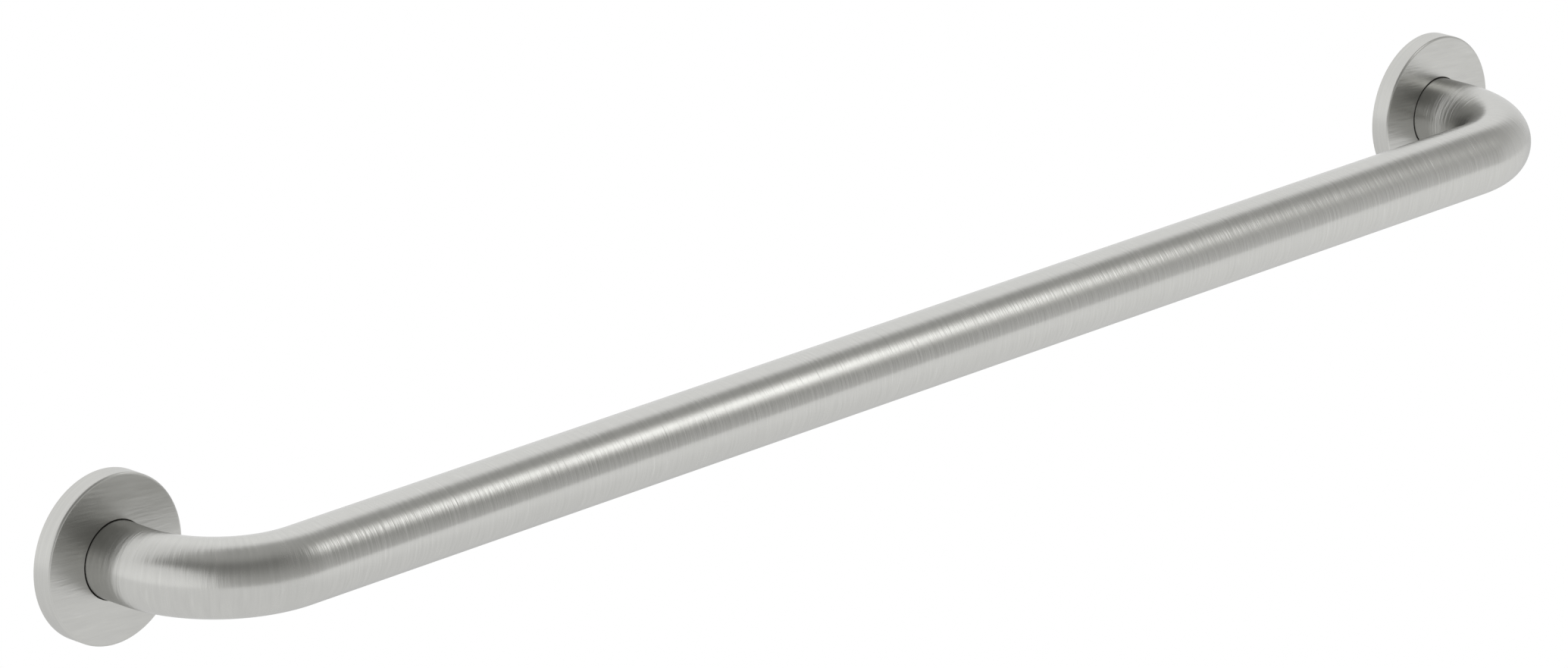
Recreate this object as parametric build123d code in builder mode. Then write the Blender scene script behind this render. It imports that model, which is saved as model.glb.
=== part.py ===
"""Wall grab bar: one bent steel tube, welded at each end to a screw plate that a slip-on round cover hides.

Millimetres. The wall is the plane Y = 0 and the bar stands out from it along -Y. +X runs along the bar
and +Z is up. The origin lies on the wall, half way between the two fixing points.
"""

import os

from build123d import *

# Bar
centre_distance = 800.0  # between the two fixing points
bar_diameter = 32.0
bar_wall = 1.5
bend_radius = 44.0  # of the tube's axis at each bend
bar_end_setback = 0.5  # the tube's end stays this far from the wall

# Covers
cover_diameter = 70.0
cover_travel = 13.0  # straight tube in front of the cover, which it slides along to bare the screws
cover_wall = 1.0
cover_edge_radius = 1.0
cover_inner_radius = 0.4
cover_rim_setback = 0.3  # the cover's rim stays this far from the wall
cover_rim_lead_in = 0.4  # chamfer inside the rim
cover_hole_clearance = 0.3  # all round the tube
cover_hole_edge = 0.25

# Screw plates
flange_thickness = 4.0
head_room = 4.0  # between the plate and the inside of the cover, for the weld and the screw heads
flange_clearance = 0.5  # between the plate's rim and the inside of the cover
flange_lead_in = 0.6  # chamfer on the plate's front rim
flange_hole_clearance = 0.05  # round the tube, before welding
nib_count = 3
nib_radius = 1.5
nib_clearance = 0.1  # between a nib, which grips the cover, and the inside of the cover
screw_count = 3
outward_angle = 180.0  # one screw on the bar's own level, on the side away from the bar
screw_hole_diameter = 6.0
countersink_diameter = 10.5
countersink_angle = 90.0

# Welds
weld_leg = 2.5
weld_crown = 0.3  # how far the face of the weld bulges

# Sizes that follow
bar_radius = bar_diameter / 2
cover_radius = cover_diameter / 2
cover_height = flange_thickness + head_room + cover_wall  # from the wall to the cover's front face
cover_bore = cover_radius - cover_wall
cover_hole_radius = bar_radius + cover_hole_clearance
straight_leg = cover_height + cover_travel
bar_projection = straight_leg + bend_radius  # from the wall to the axis of the bar
flange_radius = cover_bore - flange_clearance
flange_hole_radius = bar_radius + flange_hole_clearance
nib_height = flange_clearance - nib_clearance  # how far a nib stands out of the plate's rim
weld_radius = bar_radius + weld_leg
screw_circle_radius = (weld_radius + flange_radius) / 2  # half way between the weld and the plate's rim

# The left fixing point, looking out of the wall: its X runs along the bar and its Y points up
left_end = Plane(origin=(-centre_distance / 2, 0, 0), x_dir=(1, 0, 0), z_dir=(0, -1, 0))
left_axis = Axis(left_end.origin, left_end.z_dir)

# Bar: one tube, swept along two legs, two bends and the run between them
with BuildPart() as bar_tube:
    with BuildLine():
        FilletPolyline(
            (-centre_distance / 2, -bar_end_setback),
            (-centre_distance / 2, -bar_projection),
            (centre_distance / 2, -bar_projection),
            (centre_distance / 2, -bar_end_setback),
            radius=bend_radius,
        )
    with BuildSketch(left_end.offset(bar_end_setback)):
        Circle(bar_radius)
        Circle(bar_radius - bar_wall, mode=Mode.SUBTRACT)
    sweep()
bar_tube.part.label = "bar_tube"

# Screw plate: a disc that the tube passes through, with grip nibs on its rim and countersunk holes
with BuildPart() as left_flange:
    with BuildSketch(left_end):
        Circle(flange_radius)
    extrude(amount=flange_thickness)
    chamfer(left_flange.faces().sort_by(left_axis)[-1].edges(), flange_lead_in)
    with BuildSketch(left_end):
        with PolarLocations(flange_radius + nib_height - nib_radius, nib_count):
            Circle(nib_radius)
    extrude(amount=flange_thickness - flange_lead_in)
    with BuildSketch(left_end):
        Circle(flange_hole_radius)
    extrude(amount=flange_thickness, mode=Mode.SUBTRACT)
    with Locations(left_end.offset(flange_thickness)):
        with PolarLocations(screw_circle_radius, screw_count, start_angle=outward_angle):
            CounterSinkHole(
                screw_hole_diameter / 2,
                countersink_diameter / 2,
                depth=flange_thickness,
                counter_sink_angle=countersink_angle,
            )
left_flange.part.label = "left_flange"

# Weld: a slightly crowned fillet in the corner between the tube and the front of the plate
with BuildPart() as left_weld:
    with BuildSketch(Plane(left_end.origin, x_dir=(1, 0, 0), z_dir=(0, 0, 1))):
        with BuildLine():
            root = (bar_radius, -flange_thickness)
            toe_on_plate = (weld_radius, -flange_thickness)
            toe_on_tube = (bar_radius, -flange_thickness - weld_leg)
            Line(root, toe_on_plate)
            SagittaArc(toe_on_plate, toe_on_tube, weld_crown)
            Line(toe_on_tube, root)
        make_face()
    revolve(axis=left_axis)
left_weld.part.label = "left_weld"

# Cover: a drawn cup with a round hole that slips along the tube and hides the plate
with BuildPart() as left_cover:
    with BuildSketch(left_end.offset(cover_rim_setback)):
        Circle(cover_radius)
    extrude(amount=cover_height - cover_rim_setback)
    fillet(left_cover.faces().sort_by(left_axis)[-1].edges(), cover_edge_radius)
    with BuildSketch(left_end.offset(cover_rim_setback)):
        Circle(cover_bore)
    extrude(amount=cover_height - cover_rim_setback - cover_wall, mode=Mode.SUBTRACT)
    ceiling = left_cover.faces().filter_by(left_axis).sort_by(left_axis)[-2]
    fillet(ceiling.edges(), cover_inner_radius)
    rim = left_cover.faces().filter_by(left_axis).sort_by(left_axis)[0]
    chamfer(rim.edges().sort_by(SortBy.LENGTH)[0], cover_rim_lead_in)
    with BuildSketch(left_end):
        Circle(cover_hole_radius)
    extrude(amount=cover_height, mode=Mode.SUBTRACT)
    front = left_cover.faces().filter_by(left_axis).sort_by(left_axis)[-1]
    fillet(front.edges().sort_by(SortBy.LENGTH)[0], cover_hole_edge)
left_cover.part.label = "left_cover"

# The right end mirrors the left
with BuildPart() as right_flange:
    mirror(left_flange.part, about=Plane.YZ)
right_flange.part.label = "right_flange"

with BuildPart() as right_weld:
    mirror(left_weld.part, about=Plane.YZ)
right_weld.part.label = "right_weld"

with BuildPart() as right_cover:
    mirror(left_cover.part, about=Plane.YZ)
right_cover.part.label = "right_cover"

os.makedirs("parts", exist_ok=True)
pieces = (bar_tube, left_flange, left_weld, left_cover, right_flange, right_weld, right_cover)
for piece in pieces:
    export_step(piece.part, f"parts/{piece.part.label}.step")

print("screw circle diameter", 2 * screw_circle_radius)
print("wall to bar axis", bar_projection)
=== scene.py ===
"""Looks of the wall grab bar: a brushed tube, slip-on covers, rippled welds and bare screw plates.

Metres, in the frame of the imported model: the wall is Y = 0, the bar stands out along -Y, +X runs along
the bar and +Z is up. The pieces come first, then the studio that the steel mirrors, and the camera.
"""
import math

import bpy
import numpy as np
from mathutils import Matrix, Vector


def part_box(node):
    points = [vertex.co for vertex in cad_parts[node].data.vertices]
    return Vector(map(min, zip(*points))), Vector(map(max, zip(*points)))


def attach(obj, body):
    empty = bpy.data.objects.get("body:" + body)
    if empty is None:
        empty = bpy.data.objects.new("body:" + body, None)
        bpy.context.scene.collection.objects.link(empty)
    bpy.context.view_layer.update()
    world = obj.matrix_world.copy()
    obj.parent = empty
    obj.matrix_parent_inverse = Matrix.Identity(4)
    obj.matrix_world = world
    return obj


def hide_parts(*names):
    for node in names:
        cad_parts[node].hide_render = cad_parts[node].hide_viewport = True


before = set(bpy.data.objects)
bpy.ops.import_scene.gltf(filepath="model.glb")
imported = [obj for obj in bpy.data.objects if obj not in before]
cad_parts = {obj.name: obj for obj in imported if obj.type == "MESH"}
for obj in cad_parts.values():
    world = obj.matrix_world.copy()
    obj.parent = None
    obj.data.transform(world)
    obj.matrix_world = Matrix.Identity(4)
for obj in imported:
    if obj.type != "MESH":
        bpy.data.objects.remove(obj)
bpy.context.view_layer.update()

MM = 0.001
WHITE = (1, 1, 1, 1)
SIDES = {"left": -1, "right": 1}

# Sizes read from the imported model
bar_low, bar_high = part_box("bar_tube")
cover_low, cover_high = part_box("right_cover")
plate_low, plate_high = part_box("right_flange")
weld_low, weld_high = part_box("right_weld")
HALF_SPAN = (cover_low.x + cover_high.x) / 2
BAR_RADIUS = bar_high.x - HALF_SPAN
BAR_REACH = -bar_low.y - BAR_RADIUS
BAR_SETBACK = -bar_high.y
COVER_RADIUS = (cover_high.x - cover_low.x) / 2
COVER_HEIGHT = -cover_low.y
COVER_RIM = -cover_high.y
PLATE_FRONT = -plate_low.y
WELD_TOP = -weld_low.y
WELD_RADIUS = (weld_high.x - weld_low.x) / 2

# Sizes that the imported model's boxes don't give
BEND_RADIUS = 44 * MM
BAR_WALL = 1.5 * MM
BAR_END_BREAK = 0.25 * MM
COVER_WALL = 1.0 * MM
COVER_EDGE = 1.0 * MM
COVER_INNER_EDGE = 0.4 * MM
COVER_LEAD_IN = 0.4 * MM
COVER_RIM_BREAK = 0.12 * MM
COVER_HOLE_CLEARANCE = 0.3 * MM
COVER_HOLE = BAR_RADIUS + COVER_HOLE_CLEARANCE
COVER_HOLE_EDGE = 0.25 * MM
BEAD_CROWN = 0.24 * MM
RIPPLE_HEIGHT = 0.09 * MM

# Lengths along the bar's axis
LEG = BAR_REACH - BEND_RADIUS
BEND = BEND_RADIUS * math.pi / 2
RUN = 2 * (HALF_SPAN - BEND_RADIUS)
BAR_LENGTH = 2 * (LEG + BEND) + RUN

# Points round a piece and along its stretches, and how far a holding row stays from a change of form
BAR_COLUMNS = 144
BEND_ROWS = 49
RUN_ROWS = 12
COVER_COLUMNS = 216
FACE_ROWS = 5
EDGE_ROWS = 13
SMALL_EDGE_ROWS = 7
BEAD_COLUMNS = 720
BEAD_ROWS = 15
SUPPORT = 0.06 * MM

# Zones of a cover, in the order of its materials
SKIRT_ZONE = 0
FACE_ZONE = 1
INSIDE_ZONE = 2

# Edges that are bent by more than these stay sharp
SHARP = math.radians(30)
BEAD_SHARP = math.radians(50)

# Ripples round a bead, the phase by which their ends trail, and their slow wanders: size, waves, start
RIPPLES = 64
RIPPLE_TRAIL = 3.2
RIPPLE_WANDER = ((0.35, 5, 0.0), (0.25, 11, 1.7))


# Meshes

def grid_corners(rows, columns):
    """Row and column of each quad's four corners, for a grid that closes on itself both ways.

    The corners go round with the columns first, so that the faces of the pieces point out.
    """
    row, column = np.meshgrid(np.arange(rows), np.arange(columns), indexing="ij")
    corner_rows = np.stack([row, row, row + 1, row + 1], -1).reshape(-1, 4)
    corner_columns = np.stack([column, column + 1, column + 1, column], -1).reshape(-1, 4)
    return corner_rows, corner_columns


def closed_grid_mesh(name, points, corner_uv):
    """A mesh over a (rows, columns, 3) grid that closes both ways, with a UV pair for each quad's corner."""
    rows, columns = points.shape[:2]
    corner_rows, corner_columns = grid_corners(rows, columns)
    quads = (corner_rows % rows) * columns + corner_columns % columns
    mesh = bpy.data.meshes.new(name)
    mesh.from_pydata(points.reshape(-1, 3), [], quads)
    mesh.uv_layers.new(name="finish").data.foreach_set("uv", corner_uv.reshape(-1).astype(np.float32))
    mesh.polygons.foreach_set("use_smooth", np.ones(len(quads), bool))
    mesh.validate()
    return mesh


def link_object(name, data):
    """A new object in the scene that shows a mesh or a camera."""
    made = bpy.data.objects.new(name, data)
    bpy.context.scene.collection.objects.link(made)
    return made


def add_piece(name, mesh, body, node, materials):
    """Links a finished mesh as a piece that rides on a body and stands for one CAD node."""
    piece = link_object(name, mesh)
    for material in materials:
        mesh.materials.append(material)
    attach(piece, body)
    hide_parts(node)


def full_turn(columns):
    """Angles of so many columns, evenly once round."""
    return np.linspace(0, 2 * math.pi, columns, endpoint=False)


def arc(centre, radius, start, end, steps):
    """Points on a circle about a centre, from a start angle to an end angle in degrees, both included."""
    angle = np.radians(np.linspace(start, end, steps))
    return np.stack([centre[0] + radius * np.cos(angle), centre[1] + radius * np.sin(angle)], -1)


# Bar

def bar_axis(along):
    """The bar's axis at a distance along it: a leg, a quarter circle and half the run, then their mirror.

    Returns points and unit tangents. The turn made so far is the distance into the bend over its radius,
    held between none and a right angle; legs and run add straight lengths before and after it.
    """
    near = np.minimum(along, BAR_LENGTH - along)
    turn = np.clip((near - LEG) / BEND_RADIUS, 0, math.pi / 2)
    x = -HALF_SPAN + BEND_RADIUS * (1 - np.cos(turn)) + np.maximum(near - LEG - BEND, 0)
    y = -np.minimum(near, LEG) - BEND_RADIUS * np.sin(turn)
    far_half = np.where(along > BAR_LENGTH / 2, -1.0, 1.0)
    points = np.stack([x * far_half, y, np.zeros_like(x)], -1)
    tangents = np.stack([np.sin(turn), -np.cos(turn) * far_half, np.zeros_like(x)], -1)
    return points, tangents


def bar_rows(inset):
    """Distances along the bar for its rows: close in the bends, with a row beside each change of form."""
    half = np.concatenate([
        [inset, LEG / 3, LEG * 2 / 3, LEG - SUPPORT],
        LEG + np.linspace(0, BEND, BEND_ROWS),
        [LEG + BEND + SUPPORT],
    ])
    run = np.linspace(LEG + BEND, BAR_LENGTH - LEG - BEND, RUN_ROWS)[1:-1]
    return np.concatenate([half, run, BAR_LENGTH - half[::-1]])


def make_bar(materials):
    """The tube: a circle carried along the bar's axis, out along the outer wall and back along the bore.

    Each point is the axis point plus the radius times (up times the cosine plus outwards times the sine)
    of the angle round the tube. Up is +Z, and outwards is the tangent crossed with up. The rows run along
    the outer wall, over the broken edges of one end, back along the bore and over the other end.
    """
    bore = BAR_RADIUS - BAR_WALL
    outer = bar_rows(BAR_SETBACK + BAR_END_BREAK)
    inner = outer[::-1]
    first, last = BAR_SETBACK, BAR_LENGTH - BAR_SETBACK
    along = np.concatenate([[first], outer, [last, last], inner, [first]])
    radius = np.concatenate([
        [BAR_RADIUS - BAR_END_BREAK],
        np.full_like(outer, BAR_RADIUS),
        [BAR_RADIUS - BAR_END_BREAK, bore + BAR_END_BREAK],
        np.full_like(inner, bore),
        [bore + BAR_END_BREAK],
    ])
    angle = full_turn(BAR_COLUMNS)
    centres, tangents = bar_axis(along)
    up = np.array([0.0, 0.0, 1.0])
    outwards = np.cross(tangents, up)
    ring = np.cos(angle)[None, :, None] * up + np.sin(angle)[None, :, None] * outwards[:, None, :]
    points = centres[:, None, :] + radius[:, None, None] * ring
    rows = len(along)
    corner_rows, corner_columns = grid_corners(rows, BAR_COLUMNS)
    corner_uv = np.stack([along[corner_rows % rows], corner_columns / BAR_COLUMNS], -1)
    mesh = closed_grid_mesh("bar", points, corner_uv)
    straightened = np.stack(np.broadcast_arrays(
        along[:, None],
        radius[:, None] * np.cos(angle)[None, :],
        radius[:, None] * np.sin(angle)[None, :],
    ), -1)
    grain = mesh.attributes.new("straightened", "FLOAT_VECTOR", "POINT")
    grain.data.foreach_set("vector", straightened.reshape(-1).astype(np.float32))
    inside = radius[corner_rows % rows].min(1) < BAR_RADIUS - BAR_END_BREAK / 2
    mesh.polygons.foreach_set("material_index", inside.astype(np.int32))
    mesh.set_sharp_from_angle(angle=SHARP)
    add_piece("bar", mesh, "bar", "bar_tube", materials)


# Covers

def cover_profile():
    """The cover's section, once round, as distances from its axis and from the wall, and its zones.

    The skirt's zone includes its rounded edge, and the inside's includes the hole.
    """
    bore = COVER_RADIUS - COVER_WALL
    ceiling = COVER_HEIGHT - COVER_WALL
    edge_centre = (COVER_RADIUS - COVER_EDGE, COVER_HEIGHT - COVER_EDGE)
    hole_edge_centre = (COVER_HOLE + COVER_HOLE_EDGE, COVER_HEIGHT - COVER_HOLE_EDGE)
    inner_edge_centre = (bore - COVER_INNER_EDGE, ceiling - COVER_INNER_EDGE)
    skirt = np.concatenate([
        [[COVER_RADIUS - COVER_RIM_BREAK, COVER_RIM], [COVER_RADIUS, COVER_RIM + COVER_RIM_BREAK]],
        [[COVER_RADIUS, COVER_HEIGHT - COVER_EDGE - SUPPORT]],
        arc(edge_centre, COVER_EDGE, 0, 90, EDGE_ROWS),
    ])
    face_radii = [COVER_RADIUS - COVER_EDGE - SUPPORT, COVER_HOLE + COVER_HOLE_EDGE + SUPPORT]
    face = np.stack([np.linspace(*face_radii, FACE_ROWS), np.full(FACE_ROWS, COVER_HEIGHT)], -1)
    inside = np.concatenate([
        arc(hole_edge_centre, COVER_HOLE_EDGE, 90, 180, SMALL_EDGE_ROWS),
        [[COVER_HOLE, ceiling], [COVER_HOLE + SUPPORT, ceiling]],
        [[bore - COVER_INNER_EDGE - SUPPORT, ceiling]],
        arc(inner_edge_centre, COVER_INNER_EDGE, 90, 0, SMALL_EDGE_ROWS),
        [[bore, COVER_RIM + COVER_LEAD_IN], [bore + COVER_LEAD_IN, COVER_RIM]],
    ])
    section = np.concatenate([skirt, face, inside])
    zones = [SKIRT_ZONE, FACE_ZONE, INSIDE_ZONE]
    zone = np.repeat(zones, [len(skirt), len(face), len(inside)])
    return section, zone


def make_cover(side, materials):
    """A cover: its section turned about the axis of the bar's leg.

    A point is the fixing point plus the section's radius times (cosine along X, sine along Z) of the angle,
    at the section's height out from the wall. On the face the UV map is (Z, X), so that its first axis
    lies across the straight brushing. Elsewhere it is the length of section and the angle.
    """
    section, zone = cover_profile()
    rows = len(section)
    angle = full_turn(COVER_COLUMNS)
    centre_x = SIDES[side] * HALF_SPAN
    radius, height = section[:, :1], section[:, 1:]
    points = np.stack(np.broadcast_arrays(
        centre_x + radius * np.cos(angle),
        -height,
        radius * np.sin(angle),
    ), -1)
    step = np.linalg.norm(np.diff(section, axis=0, append=section[:1]), axis=1)
    length = np.concatenate([[0], np.cumsum(step)])
    corner_rows, corner_columns = grid_corners(rows, COVER_COLUMNS)
    turned_uv = np.stack([length[corner_rows], corner_columns / COVER_COLUMNS], -1)
    corner_points = points[corner_rows % rows, corner_columns % COVER_COLUMNS]
    face_uv = corner_points[..., [2, 0]]
    quad_zone = zone[corner_rows[:, 0]]
    corner_uv = np.where((quad_zone == FACE_ZONE)[:, None, None], face_uv, turned_uv)
    mesh = closed_grid_mesh(f"{side}_cover_shell", points, corner_uv)
    mesh.polygons.foreach_set("material_index", quad_zone.astype(np.int32))
    mesh.set_sharp_from_angle(angle=SHARP)
    cover = f"{side}_cover"
    add_piece(f"{side}_cover_shell", mesh, cover, cover, materials)


# Welds

def make_weld(side, materials):
    """A weld bead: a crowned section, turned about the leg, with a ripple for each pool of metal laid.

    Across the bead runs a share from the toe on the plate to the toe on the tube. The crown is a sine of
    that share. The ripples are a cosine of the angle whose phase trails with the square of the distance
    from the bead's middle, so each one is a crescent. They wander slowly and fade out at both toes.
    """
    leg = WELD_TOP - PLATE_FRONT
    diagonal = math.sqrt(0.5)
    share = np.linspace(0, 1, BEAD_ROWS)[:, None]
    angle = full_turn(BEAD_COLUMNS)[None, :]
    wander = sum(size * np.sin(waves * angle + start) for size, waves, start in RIPPLE_WANDER)
    swell = np.sin(math.pi * share)
    phase = RIPPLES * angle + RIPPLE_TRAIL * (2 * share - 1) ** 2 + wander
    lift = BEAD_CROWN * swell + RIPPLE_HEIGHT * swell * np.cos(phase)
    radius = BAR_RADIUS + leg * (1 - share) + lift * diagonal
    height = PLATE_FRONT + leg * share + lift * diagonal
    root = np.ones_like(angle)
    radius = np.concatenate([radius, BAR_RADIUS * root])
    height = np.concatenate([height, PLATE_FRONT * root])
    centre_x = SIDES[side] * HALF_SPAN
    points = np.stack([centre_x + radius * np.cos(angle), -height, radius * np.sin(angle)], -1)
    rows = len(radius)
    corner_rows, corner_columns = grid_corners(rows, BEAD_COLUMNS)
    corner_uv = np.stack([corner_rows / rows, corner_columns / BEAD_COLUMNS], -1)
    mesh = closed_grid_mesh(f"{side}_weld_bead", points, corner_uv)
    mesh.set_sharp_from_angle(angle=BEAD_SHARP)
    add_piece(f"{side}_weld_bead", mesh, "bar", f"{side}_weld", materials)


# Nodes

def set_inputs(tree, node, inputs):
    """Links each input that is given as a socket, and sets any other as a value."""
    for key, value in inputs.items():
        if isinstance(value, bpy.types.NodeSocket):
            tree.links.new(value, node.inputs[key])
        else:
            node.inputs[key].default_value = value


def add_node(tree, kind, inputs=None, **settings):
    """A node with its settings and its inputs."""
    made = tree.nodes.new(kind)
    for key, value in settings.items():
        setattr(made, key, value)
    set_inputs(tree, made, inputs or {})
    return made


def math_node(tree, operation, first, second=0.0):
    """The result of one sum on one or two numbers or sockets."""
    return add_node(tree, "ShaderNodeMath", {0: first, 1: second}, operation=operation).outputs[0]


def flat_length(tree, first, second):
    """The length of a flat vector from its two parts."""
    flat = add_node(tree, "ShaderNodeCombineXYZ", {"X": first, "Y": second}).outputs[0]
    return add_node(tree, "ShaderNodeVectorMath", {0: flat}, operation="LENGTH").outputs["Value"]


def noise(tree, position, scale, detail, roughness=0.5):
    """Smooth noise from about 0 to 1 over a position, with about so many bumps to its unit."""
    inputs = {"Vector": position, "Scale": scale, "Detail": detail, "Roughness": roughness}
    return add_node(tree, "ShaderNodeTexNoise", inputs).outputs[0]


def spread(tree, value, reach):
    """A 0 to 1 value carried over to the range from minus the reach to the reach."""
    inputs = {"Value": value, "To Min": -reach, "To Max": reach}
    return add_node(tree, "ShaderNodeMapRange", inputs).outputs["Result"]


def smooth_range(tree, value, start, end, low, high):
    """A smooth change from low, where the value is at the start of a range, to high at its end."""
    inputs = {"Value": value, "From Min": start, "From Max": end, "To Min": low, "To Max": high}
    return add_node(tree, "ShaderNodeMapRange", inputs, interpolation_type="SMOOTHSTEP").outputs["Result"]


def colour_mix(tree, factor, first, second, blend="MIX"):
    """Two colours mixed by a factor."""
    inputs = {"Factor": factor, "A": first, "B": second}
    return add_node(tree, "ShaderNodeMix", inputs, data_type="RGBA", blend_type=blend).outputs["Result"]


def new_group(name, inputs, outputs):
    """An empty shader node group with its named sockets, and its input and output nodes."""
    group = bpy.data.node_groups.new(name, "ShaderNodeTree")
    for socket, kind in inputs.items():
        group.interface.new_socket(socket, in_out="INPUT", socket_type=kind)
    for socket, kind in outputs.items():
        group.interface.new_socket(socket, in_out="OUTPUT", socket_type=kind)
    return group, group.nodes.new("NodeGroupInput"), group.nodes.new("NodeGroupOutput")


def object_position(tree):
    """A point's place in its object, which for every piece is its place in the frame."""
    return add_node(tree, "ShaderNodeTexCoord").outputs["Object"]


def position_parts(tree):
    """X, Y and Z of a point's place in its object."""
    return add_node(tree, "ShaderNodeSeparateXYZ", {0: object_position(tree)}).outputs


# Finishes

# How bright each brushed steel is, its warm tint, and what is left of its brightness towards the edges
TUBE_STEEL = 0.5
SKIRT_STEEL = 0.507
FACE_STEEL = 0.483
STEEL_TINT = (1.0, 0.998, 0.962)
EDGE_TINT = 0.8

# Brushing: which noise peaks are scratches, how much one lightens, slow waves to a metre and their
# height in millimetres, and the turn of the grain on a cover's face
SCRATCH_SCALE = 1.7
SCRATCH_FROM = 0.72
SCRATCH_FULL = 0.84
SCRATCH_SHARE = 0.25
WAVES = 40.0
WAVE_HEIGHT = 0.10
GRAIN_TURN = math.radians(85)

# Grains to a metre along each axis on unbrushed steel, their height, and clouds to a metre
EVEN = (2500.0, 2500.0, 2500.0)
DRAWN_X = (200.0, 2500.0, 2500.0)
DRAWN_Y = (2500.0, 200.0, 2500.0)
GRAIN_HEIGHT = 0.02 * MM
CLOUDS = 60.0

# How far each of these makes the roughness vary
MARK_ROUGHNESS = 0.05
WAVE_ROUGHNESS = 0.04
GRAIN_ROUGHNESS = 0.06
CLOUD_ROUGHNESS = 0.08

# Welding heat: heated widths, the shares on a bead, the wander, and the colour at each share
PLATE_HEAT = 5.5 * MM
TUBE_HEAT = 2.0 * MM
BEAD_MIDDLE_SHARE = 1.1
BEAD_TOE_SHARE = 0.3
HEAT_WANDER = 0.2
HEAT_WANDER_SCALE = 150.0
HEAT_BANDS = (
    (0.0, (0.66, 0.70, 0.78)),
    (0.2, (0.64, 0.56, 0.64)),
    (0.4, (0.80, 0.64, 0.50)),
    (0.7, (0.98, 0.88, 0.70)),
    (1.0, (1.0, 1.0, 1.0)),
)


def brushing_group():
    """Brush marks: noise drawn out along the grain, sparse scratches, and slow waves left by the polishing.

    Position's X runs across the grain. Lines is how many marks there are to a metre, and Length is how many
    times longer than wide a mark is. A scratch is a peak of a second, plainer noise.
    """
    group, given, result = new_group(
        "brushing",
        {"Position": "NodeSocketVector", "Lines": "NodeSocketFloat", "Length": "NodeSocketFloat"},
        {"Marks": "NodeSocketFloat", "Scratches": "NodeSocketFloat", "Waves": "NodeSocketFloat"},
    )
    position = given.outputs["Position"]
    lines = given.outputs["Lines"]
    lengthwise = math_node(group, "DIVIDE", lines, given.outputs["Length"])
    scales = {"X": lines, "Y": lengthwise, "Z": lengthwise}
    stretch = add_node(group, "ShaderNodeCombineXYZ", scales).outputs[0]
    factors = {0: position, 1: stretch}
    drawn = add_node(group, "ShaderNodeVectorMath", factors, operation="MULTIPLY").outputs[0]
    peaks = {
        "Value": noise(group, drawn, SCRATCH_SCALE, detail=0.0),
        "From Min": SCRATCH_FROM,
        "From Max": SCRATCH_FULL,
    }
    set_inputs(group, result, {
        "Marks": noise(group, drawn, 1.0, detail=2.0, roughness=0.6),
        "Scratches": add_node(group, "ShaderNodeMapRange", peaks).outputs["Result"],
        "Waves": noise(group, position, WAVES, detail=2.0, roughness=0.45),
    })
    return group


def heat_group():
    """The colours that welding leaves on bare steel, by the distance from the bead over the heated width.

    Beside the bead the steel is blue grey, then violet, bronze and straw, and past the heated width it is
    clean. Slow noise makes the bands wander.
    """
    group, given, result = new_group(
        "welding_heat",
        {"Steel": "NodeSocketColor", "Share": "NodeSocketFloat"},
        {"Tinted": "NodeSocketColor"},
    )
    slow = noise(group, object_position(group), HEAT_WANDER_SCALE, detail=2.0)
    wander = spread(group, slow, HEAT_WANDER)
    share = math_node(group, "ADD", given.outputs["Share"], wander)
    bands = add_node(group, "ShaderNodeValToRGB", {"Fac": share})
    stops = bands.color_ramp.elements
    while len(stops) < len(HEAT_BANDS):
        stops.new(0.5)
    for stop, (position, colour) in zip(stops, HEAT_BANDS):
        stop.position = position
        stop.color = colour + (1.0,)
    tinted = colour_mix(group, 1.0, given.outputs["Steel"], bands.outputs["Color"], "MULTIPLY")
    group.links.new(tinted, result.inputs["Tinted"])
    return group


BRUSHING = brushing_group()
WELDING_HEAT = heat_group()


def new_metal(name):
    """A material with one Principled shader set to bare steel, its tree and the shader."""
    material = bpy.data.materials.new(name)
    material.use_nodes = True
    tree = material.node_tree
    shader = tree.nodes["Principled BSDF"]
    set_inputs(tree, shader, {"Metallic": 1.0, "Specular Tint": (EDGE_TINT, EDGE_TINT, EDGE_TINT, 1.0)})
    return material, tree, shader


def steel_colour(tree, tone, low, high):
    """Steel of a slightly warm grey, between two levels of brightness."""
    dark, light = (tuple(level * part for part in STEEL_TINT) + (1.0,) for level in (low, high))
    return colour_mix(tree, tone, dark, light)


def heated(tree, steel, share):
    """Steel's colour with the bands of welding heat, where a function gives the share, or as it is."""
    if share is None:
        return steel
    inputs = {"Steel": steel, "Share": share(tree)}
    return add_node(tree, "ShaderNodeGroup", inputs, node_tree=WELDING_HEAT).outputs["Tinted"]


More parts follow.
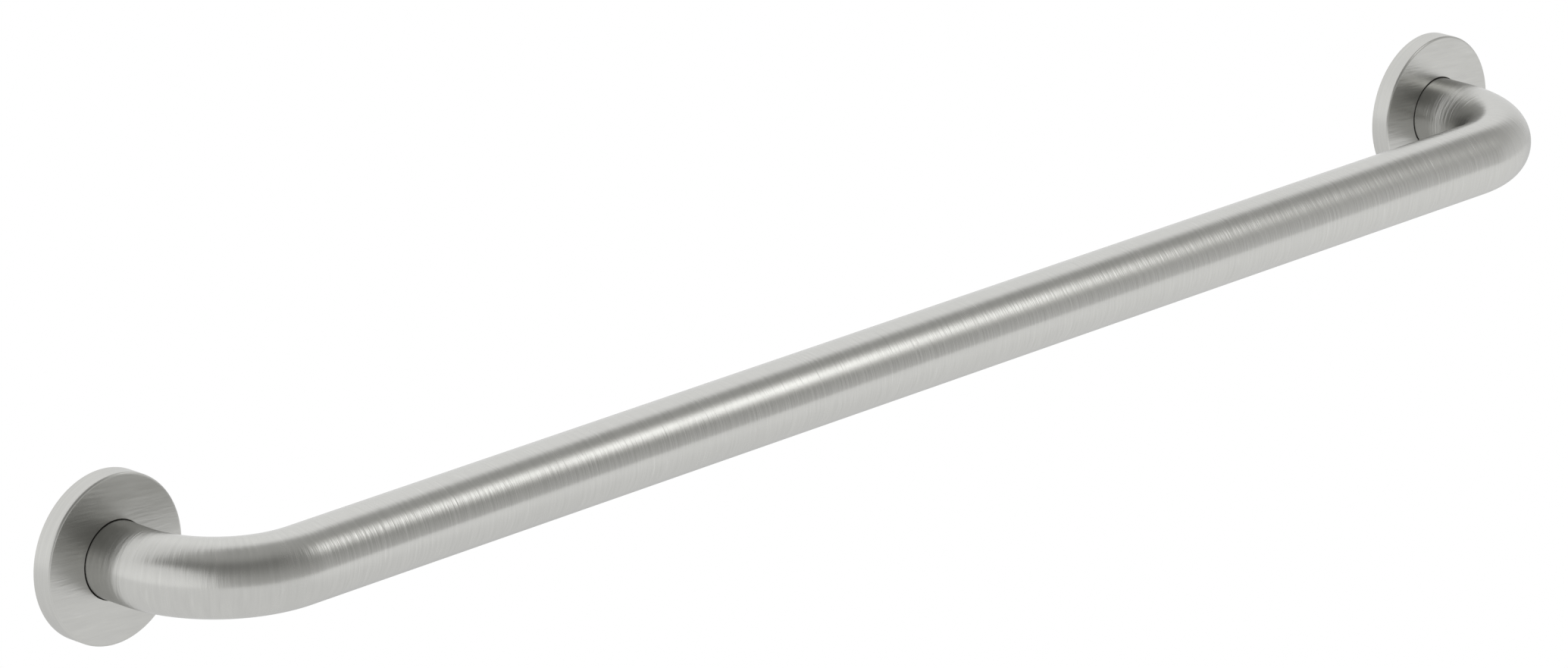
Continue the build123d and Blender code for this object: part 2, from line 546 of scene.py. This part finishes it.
def brushed_steel(name, position, level, lines, length, depth, shade, anisotropy, roughness, heat=None):
    """Brushed stainless steel: marks and scratches shade it, and marks and slow waves are its relief.

    Position is a function that gives the grain position's socket in the material's tree, and heat is one
    that gives the share of the heated width. Level is how bright the steel is, and shade is how much the
    marks lighten or darken it. Depth is the height of the marks in millimetres.
    """
    material, tree, shader = new_metal(name)
    inputs = {"Position": position(tree), "Lines": lines, "Length": length}
    brushing = add_node(tree, "ShaderNodeGroup", inputs, node_tree=BRUSHING).outputs
    marks, waves = brushing["Marks"], brushing["Waves"]
    scratches = math_node(tree, "MULTIPLY", brushing["Scratches"], SCRATCH_SHARE)
    tone = math_node(tree, "ADD", marks, scratches)
    steel = steel_colour(tree, tone, level - shade, level + shade)
    vary = math_node(tree, "ADD", spread(tree, marks, MARK_ROUGHNESS), spread(tree, waves, WAVE_ROUGHNESS))
    cut = math_node(tree, "MULTIPLY", marks, depth)
    swell = math_node(tree, "MULTIPLY", waves, WAVE_HEIGHT)
    height = math_node(tree, "ADD", cut, swell)
    relief = add_node(tree, "ShaderNodeBump", {"Height": height, "Strength": 1.0, "Distance": MM})
    tangent = add_node(tree, "ShaderNodeTangent", direction_type="UV_MAP", uv_map="finish")
    set_inputs(tree, shader, {
        "Base Color": heated(tree, steel, heat),
        "Roughness": math_node(tree, "ADD", vary, roughness),
        "Normal": relief.outputs[0],
        "Anisotropic": anisotropy,
        "Tangent": tangent.outputs[0],
    })
    return material


def plain_steel(name, position, grain, low, high, roughness, bump, heat=None):
    """Unbrushed steel: fine grain, drawn out where it was drawn or cut, and slow clouds.

    Grain is how many grains there are to a metre along each axis of the position.
    """
    material, tree, shader = new_metal(name)
    place = position(tree)
    drawn = add_node(tree, "ShaderNodeMapping", {"Vector": place, "Scale": grain}).outputs[0]
    fine = noise(tree, drawn, 1.0, detail=2.0)
    slow = noise(tree, place, CLOUDS, detail=3.0)
    steel = steel_colour(tree, slow, low, high)
    vary = math_node(tree, "ADD", spread(tree, fine, GRAIN_ROUGHNESS), spread(tree, slow, CLOUD_ROUGHNESS))
    relief = add_node(tree, "ShaderNodeBump", {"Height": fine, "Strength": bump, "Distance": GRAIN_HEIGHT})
    set_inputs(tree, shader, {
        "Base Color": heated(tree, steel, heat),
        "Roughness": math_node(tree, "ADD", vary, roughness),
        "Normal": relief.outputs[0],
    })
    return material


def straightened_position(tree):
    """Grain position on the bar: as if the tube were straight, with X along its axis."""
    return add_node(tree, "ShaderNodeAttribute", attribute_name="straightened").outputs["Vector"]


def turned_position(tree):
    """Grain position on a cover's skirt: X runs out from the wall, so the marks run round the cover."""
    parts = position_parts(tree)
    swapped = {"X": parts["Y"], "Y": parts["X"], "Z": parts["Z"]}
    return add_node(tree, "ShaderNodeCombineXYZ", swapped).outputs[0]


def straight_position(tree):
    """Grain position on a cover's face: X runs nearly up the face, so the marks run nearly level."""
    inputs = {"Vector": object_position(tree), "Rotation": (0.0, GRAIN_TURN, 0.0)}
    return add_node(tree, "ShaderNodeMapping", inputs).outputs[0]


def from_leg(tree):
    """How far a point is from the axis of the nearer leg."""
    parts = position_parts(tree)
    aside = math_node(tree, "SUBTRACT", math_node(tree, "ABSOLUTE", parts["X"]), HALF_SPAN)
    return flat_length(tree, aside, parts["Z"])


def plate_heat(tree):
    """Heat on a plate: the distance from the ring on its front where the bead ends."""
    beyond = math_node(tree, "MAXIMUM", math_node(tree, "SUBTRACT", from_leg(tree), WELD_RADIUS))
    behind = math_node(tree, "ADD", position_parts(tree)["Y"], PLATE_FRONT)
    return math_node(tree, "DIVIDE", flat_length(tree, beyond, behind), PLATE_HEAT)


def bead_heat(tree):
    """Heat on a bead: clean along its middle and tinted towards both toes."""
    middle = (BAR_RADIUS + WELD_RADIUS) / 2
    inputs = {
        "Value": math_node(tree, "ABSOLUTE", math_node(tree, "SUBTRACT", from_leg(tree), middle)),
        "From Max": WELD_RADIUS - middle,
        "To Min": BEAD_MIDDLE_SHARE,
        "To Max": BEAD_TOE_SHARE,
    }
    return add_node(tree, "ShaderNodeMapRange", inputs).outputs["Result"]


def tube_heat(tree):
    """Heat on the tube: the distance along it from the top of the nearer bead."""
    along = add_node(tree, "ShaderNodeSeparateXYZ", {0: straightened_position(tree)}).outputs["X"]
    near = math_node(tree, "MINIMUM", along, math_node(tree, "SUBTRACT", BAR_LENGTH, along))
    return math_node(tree, "DIVIDE", math_node(tree, "SUBTRACT", near, WELD_TOP), TUBE_HEAT)


tube_finish = brushed_steel(
    "brushed_tube", straightened_position, TUBE_STEEL,
    lines=700.0, length=12.0, depth=0.105, shade=0.045, anisotropy=0.45, roughness=0.25, heat=tube_heat,
)
bore_finish = plain_steel(
    "dull_bore", straightened_position, DRAWN_X, low=0.3, high=0.42, roughness=0.5, bump=0.6
)
skirt_finish = brushed_steel(
    "turned_skirt", turned_position, SKIRT_STEEL,
    lines=1500.0, length=60.0, depth=0.008, shade=0.06, anisotropy=0.4, roughness=0.34,
)
face_finish = brushed_steel(
    "straight_brushed_face", straight_position, FACE_STEEL,
    lines=500.0, length=10.0, depth=0.1, shade=0.06, anisotropy=0.3, roughness=0.31,
)
drawn_finish = plain_steel(
    "drawn_inside", object_position, DRAWN_Y, low=0.36, high=0.48, roughness=0.42, bump=0.6
)
plate_finish = plain_steel(
    "mill_plate", object_position, DRAWN_Y, low=0.42, high=0.54, roughness=0.38, bump=0.6, heat=plate_heat
)
weld_finish = plain_steel(
    "weld_bead", object_position, EVEN, low=0.42, high=0.54, roughness=0.26, bump=0.3, heat=bead_heat
)

make_bar([tube_finish, bore_finish])
for side in SIDES:
    make_cover(side, [skirt_finish, face_finish, drawn_finish])
    make_weld(side, [weld_finish])
    for plate_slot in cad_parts[f"{side}_flange"].material_slots:
        plate_slot.material = plate_finish


# Studio

# Floor: its height, half its width, its paint, and how bright the steel mirrors it
FLOOR_Z = -0.8
FLOOR_HALF = 30.0
FLOOR_PAINT = (0.9, 0.9, 0.9, 1)
FLOOR_LEVELS = (1.06, 1.2)
FLOOR_RISE_X = (0.2, 1.4)
FLOOR_FALL = 0.22
FLOOR_FALL_X = (0.0, 0.6)
FLOOR_FALL_Y = (0.15, 0.65)

# Room: a sphere from its foot to its top in degrees, and the light of its white parts
ROOM_RADIUS = 5.0
ROOM_EDGE = 180.0
ROOM_FOOT = -8.0
ROOM_TOP = 90.0
ROOM_COLUMNS = 241
ROOM_ROWS = 81
ROOM_WHITE = 1.26
DIM_TINT = (1.0, 0.995, 0.95, 1)

# Lamp: where it aims, where it is seen from there, and its size; its patch reaches out to so many sizes
LAMP_AIM = (-0.17, -0.078, 0.010)
LAMP_DIRECTION = (0.682, -0.428, 0.591)
LAMP_UPRIGHT = (0.215, -0.645, -0.733)
LAMP_DISTANCE = 1.2
LAMP_WIDTH = 0.15
LAMP_HEIGHT = 0.168
LAMP_LEVEL = 2.25
LAMP_REACH = 3.2
LAMP_STEPS = 49


def blank_material(name):
    """A material with an empty node tree, and the tree."""
    material = bpy.data.materials.new(name)
    material.use_nodes = True
    material.node_tree.nodes.clear()
    return material, material.node_tree


def emission(tree, colour, strength):
    """Light of a colour and a strength."""
    return add_node(tree, "ShaderNodeEmission", {"Color": colour, "Strength": strength}).outputs[0]


def shader_mix(tree, factor, first, second):
    """Two shaders mixed by a factor."""
    return add_node(tree, "ShaderNodeMixShader", {0: factor, 1: first, 2: second}).outputs[0]


def mirrored_floor(tree):
    """How bright the steel mirrors the floor: brighter to the right, but less so behind the bar."""
    parts = position_parts(tree)
    rise = smooth_range(tree, parts["X"], *FLOOR_RISE_X, *FLOOR_LEVELS)
    to_the_right = smooth_range(tree, parts["X"], *FLOOR_FALL_X, 0.0, FLOOR_FALL)
    behind = smooth_range(tree, parts["Y"], *FLOOR_FALL_Y, 0.0, 1.0)
    return math_node(tree, "SUBTRACT", rise, math_node(tree, "MULTIPLY", to_the_right, behind))


def make_floor():
    """A wide white floor, far below the bar, that can be looked through from below.

    The camera sees it as white, mirrors and glass see its mirrored light, and any other ray sees its paint.
    """
    corners = np.array([[-1, -1], [1, -1], [1, 1], [-1, 1]]) * FLOOR_HALF
    points = np.concatenate([corners, np.full((4, 1), FLOOR_Z)], 1)
    mesh = bpy.data.meshes.new("floor")
    mesh.from_pydata(points, [], [(0, 1, 2, 3)])
    material, tree = blank_material("white_floor")
    ray = add_node(tree, "ShaderNodeLightPath").outputs
    glossy = math_node(tree, "MAXIMUM", ray["Is Camera Ray"], ray["Is Glossy Ray"])
    lit = math_node(tree, "MAXIMUM", glossy, ray["Is Transmission Ray"])
    levels = {"Factor": ray["Is Camera Ray"], "A": mirrored_floor(tree), "B": 1.0}
    strength = add_node(tree, "ShaderNodeMix", levels, data_type="FLOAT").outputs["Result"]
    paint = add_node(tree, "ShaderNodeBsdfDiffuse", {"Color": FLOOR_PAINT}).outputs[0]
    above = shader_mix(tree, lit, paint, emission(tree, WHITE, strength))
    under = add_node(tree, "ShaderNodeNewGeometry").outputs["Backfacing"]
    clear = add_node(tree, "ShaderNodeBsdfTransparent").outputs[0]
    add_node(tree, "ShaderNodeOutputMaterial", {"Surface": shader_mix(tree, under, above, clear)})
    mesh.materials.append(material)
    floor = link_object("floor", mesh)


def ease(value, low, high):
    """A smooth step from 0 at low to 1 at high: the share's square times three less twice the share."""
    share = np.clip((value - low) / (high - low), 0, 1)
    return share * share * (3 - 2 * share)


def room_level(x, y, z):
    """How bright the room is in a direction: grey, and darkest in front, above eye level.

    The grey is lighter towards the floor, at the room's foot, on the ceiling and to the right. It gives way
    to white on the left and at the back, and that white is weaker overhead. Each part is a level times
    smooth steps of the direction.
    """
    front = 0.275
    low = 0.30 * (1 - ease(z, 0.0, 0.75))
    foot = 0.10 * (1 - ease(z, -0.12, 0.12))
    ceiling = 0.26 * ease(z, 0.74, 1.0)
    upper_right = 0.19 * ease(x, 0.15, 0.6) * ease(z, 0.3, 0.65)
    lower_right = 0.34 * ease(x, 0.55, 0.9) * (1 - ease(z, 0.15, 0.8))
    grey = front + low + foot + ceiling + upper_right + lower_right
    left = 1 - ease(x, -0.88, -0.66)
    back = ease(y, 0.08, 0.355)
    overhead = 0.15 * ease(z, 0.0, 0.5) * (1 - ease(x, 0.0, 0.5)) * (1 - ease(y, 0.42, 0.65))
    return grey + (ROOM_WHITE - overhead - grey) * np.maximum(left, back)


def glow_material(name, see_through):
    """A material that gives off the light level each point holds, slightly warm where that is low.

    A see-through one adds its light to what lies behind it.
    """
    material, tree = blank_material(name)
    level = add_node(tree, "ShaderNodeAttribute", attribute_name="level").outputs["Fac"]
    shown = emission(tree, colour_mix(tree, level, DIM_TINT, WHITE), level)
    if see_through:
        clear = add_node(tree, "ShaderNodeBsdfTransparent").outputs[0]
        shown = add_node(tree, "ShaderNodeAddShader", {0: shown, 1: clear}).outputs[0]
    add_node(tree, "ShaderNodeOutputMaterial", {"Surface": shown})
    return material


def add_glow(name, points, level, see_through):
    """Links a (columns, rows, 3) grid of points with light levels as a light that the camera can't see."""
    columns, rows = points.shape[:2]
    column, row = np.meshgrid(np.arange(columns - 1), np.arange(rows - 1), indexing="ij")
    first = (column * rows + row).reshape(-1)
    quads = np.stack([first, first + rows, first + rows + 1, first + 1], -1)
    mesh = bpy.data.meshes.new(name)
    mesh.from_pydata(points.reshape(-1, 3), [], quads)
    held = mesh.attributes.new("level", "FLOAT", "POINT")
    held.data.foreach_set("value", level.reshape(-1).astype(np.float32))
    mesh.materials.append(glow_material(name, see_through))
    glow = link_object(name, mesh)
    glow.visible_camera = False


def make_room():
    """The room round the bar, which the steel mirrors: a sphere about the origin, open below its foot.

    A point is the radius times the direction of an azimuth from the front and an elevation.
    """
    azimuth = np.radians(np.linspace(-ROOM_EDGE, ROOM_EDGE, ROOM_COLUMNS))[:, None]
    elevation = np.radians(np.linspace(ROOM_FOOT, ROOM_TOP, ROOM_ROWS))[None, :]
    x, y, z = np.broadcast_arrays(
        np.sin(azimuth) * np.cos(elevation), -np.cos(azimuth) * np.cos(elevation), np.sin(elevation)
    )
    add_glow("room", np.stack([x, y, z], -1) * ROOM_RADIUS, room_level(x, y, z), False)


def make_lamp():
    """The soft lamp: a flat patch that faces the bar, brightest in the middle and all but dark at its rim.

    A point is the middle plus its shares of the width and the height. Its level is the full level times
    the exponential of minus half the sum of the squares of both shares.
    """
    towards = np.array(LAMP_DIRECTION) / np.linalg.norm(LAMP_DIRECTION)
    upright = np.array(LAMP_UPRIGHT) - np.dot(LAMP_UPRIGHT, towards) * towards
    upright = upright / np.linalg.norm(upright)
    sideways = np.cross(upright, towards)
    middle = np.array(LAMP_AIM) + LAMP_DISTANCE * towards
    shares = np.linspace(-LAMP_REACH, LAMP_REACH, LAMP_STEPS)
    across, up = np.meshgrid(shares, shares, indexing="ij")
    points = middle + LAMP_WIDTH * across[..., None] * sideways + LAMP_HEIGHT * up[..., None] * upright
    add_glow("lamp", points, LAMP_LEVEL * np.exp(-(across ** 2 + up ** 2) / 2), True)


def make_world():
    """A plain white surround."""
    world = bpy.data.worlds.new("white_surround")
    world.use_nodes = True
    set_inputs(world.node_tree, world.node_tree.nodes["Background"], {"Color": WHITE, "Strength": 1.0})
    bpy.context.scene.world = world


# Camera, fitted to the outline in a picture 2069 pixels wide
PICTURE_WIDTH = 2069
FOCAL_PIXELS = 11615.8
SENSOR_MM = 36.0
AZIMUTH = math.radians(-46.06)
ELEVATION = math.radians(18.66)
ROLL = math.radians(-0.33)
CAMERA_DISTANCE = 3.6915
CAMERA_AIM = Vector((-15.654, 0, -4.603)) * MM
CLIP_NEAR = 0.1
CLIP_FAR = 100.0


def make_camera():
    """The camera: on a sphere about its aim, level and then rolled by a small angle about its own view."""
    level = math.cos(ELEVATION)
    back = Vector((math.sin(AZIMUTH) * level, -math.cos(AZIMUTH) * level, math.sin(ELEVATION)))
    right = Vector((0, 0, 1)).cross(back).normalized()
    up = back.cross(right)
    rolled_right = math.cos(ROLL) * right + math.sin(ROLL) * up
    rolled_up = back.cross(rolled_right)
    camera = bpy.data.cameras.new("camera")
    camera.sensor_width = SENSOR_MM
    camera.lens = FOCAL_PIXELS / PICTURE_WIDTH * SENSOR_MM
    camera.clip_start = CLIP_NEAR
    camera.clip_end = CLIP_FAR
    view = link_object("camera", camera)
    turn = Matrix((rolled_right, rolled_up, back)).transposed().to_4x4()
    view.matrix_world = Matrix.Translation(CAMERA_AIM + back * CAMERA_DISTANCE) @ turn
    bpy.context.scene.camera = view


make_floor()
make_room()
make_world()
make_camera()
make_lamp()
bpy.context.scene.view_settings.view_transform = "Standard"
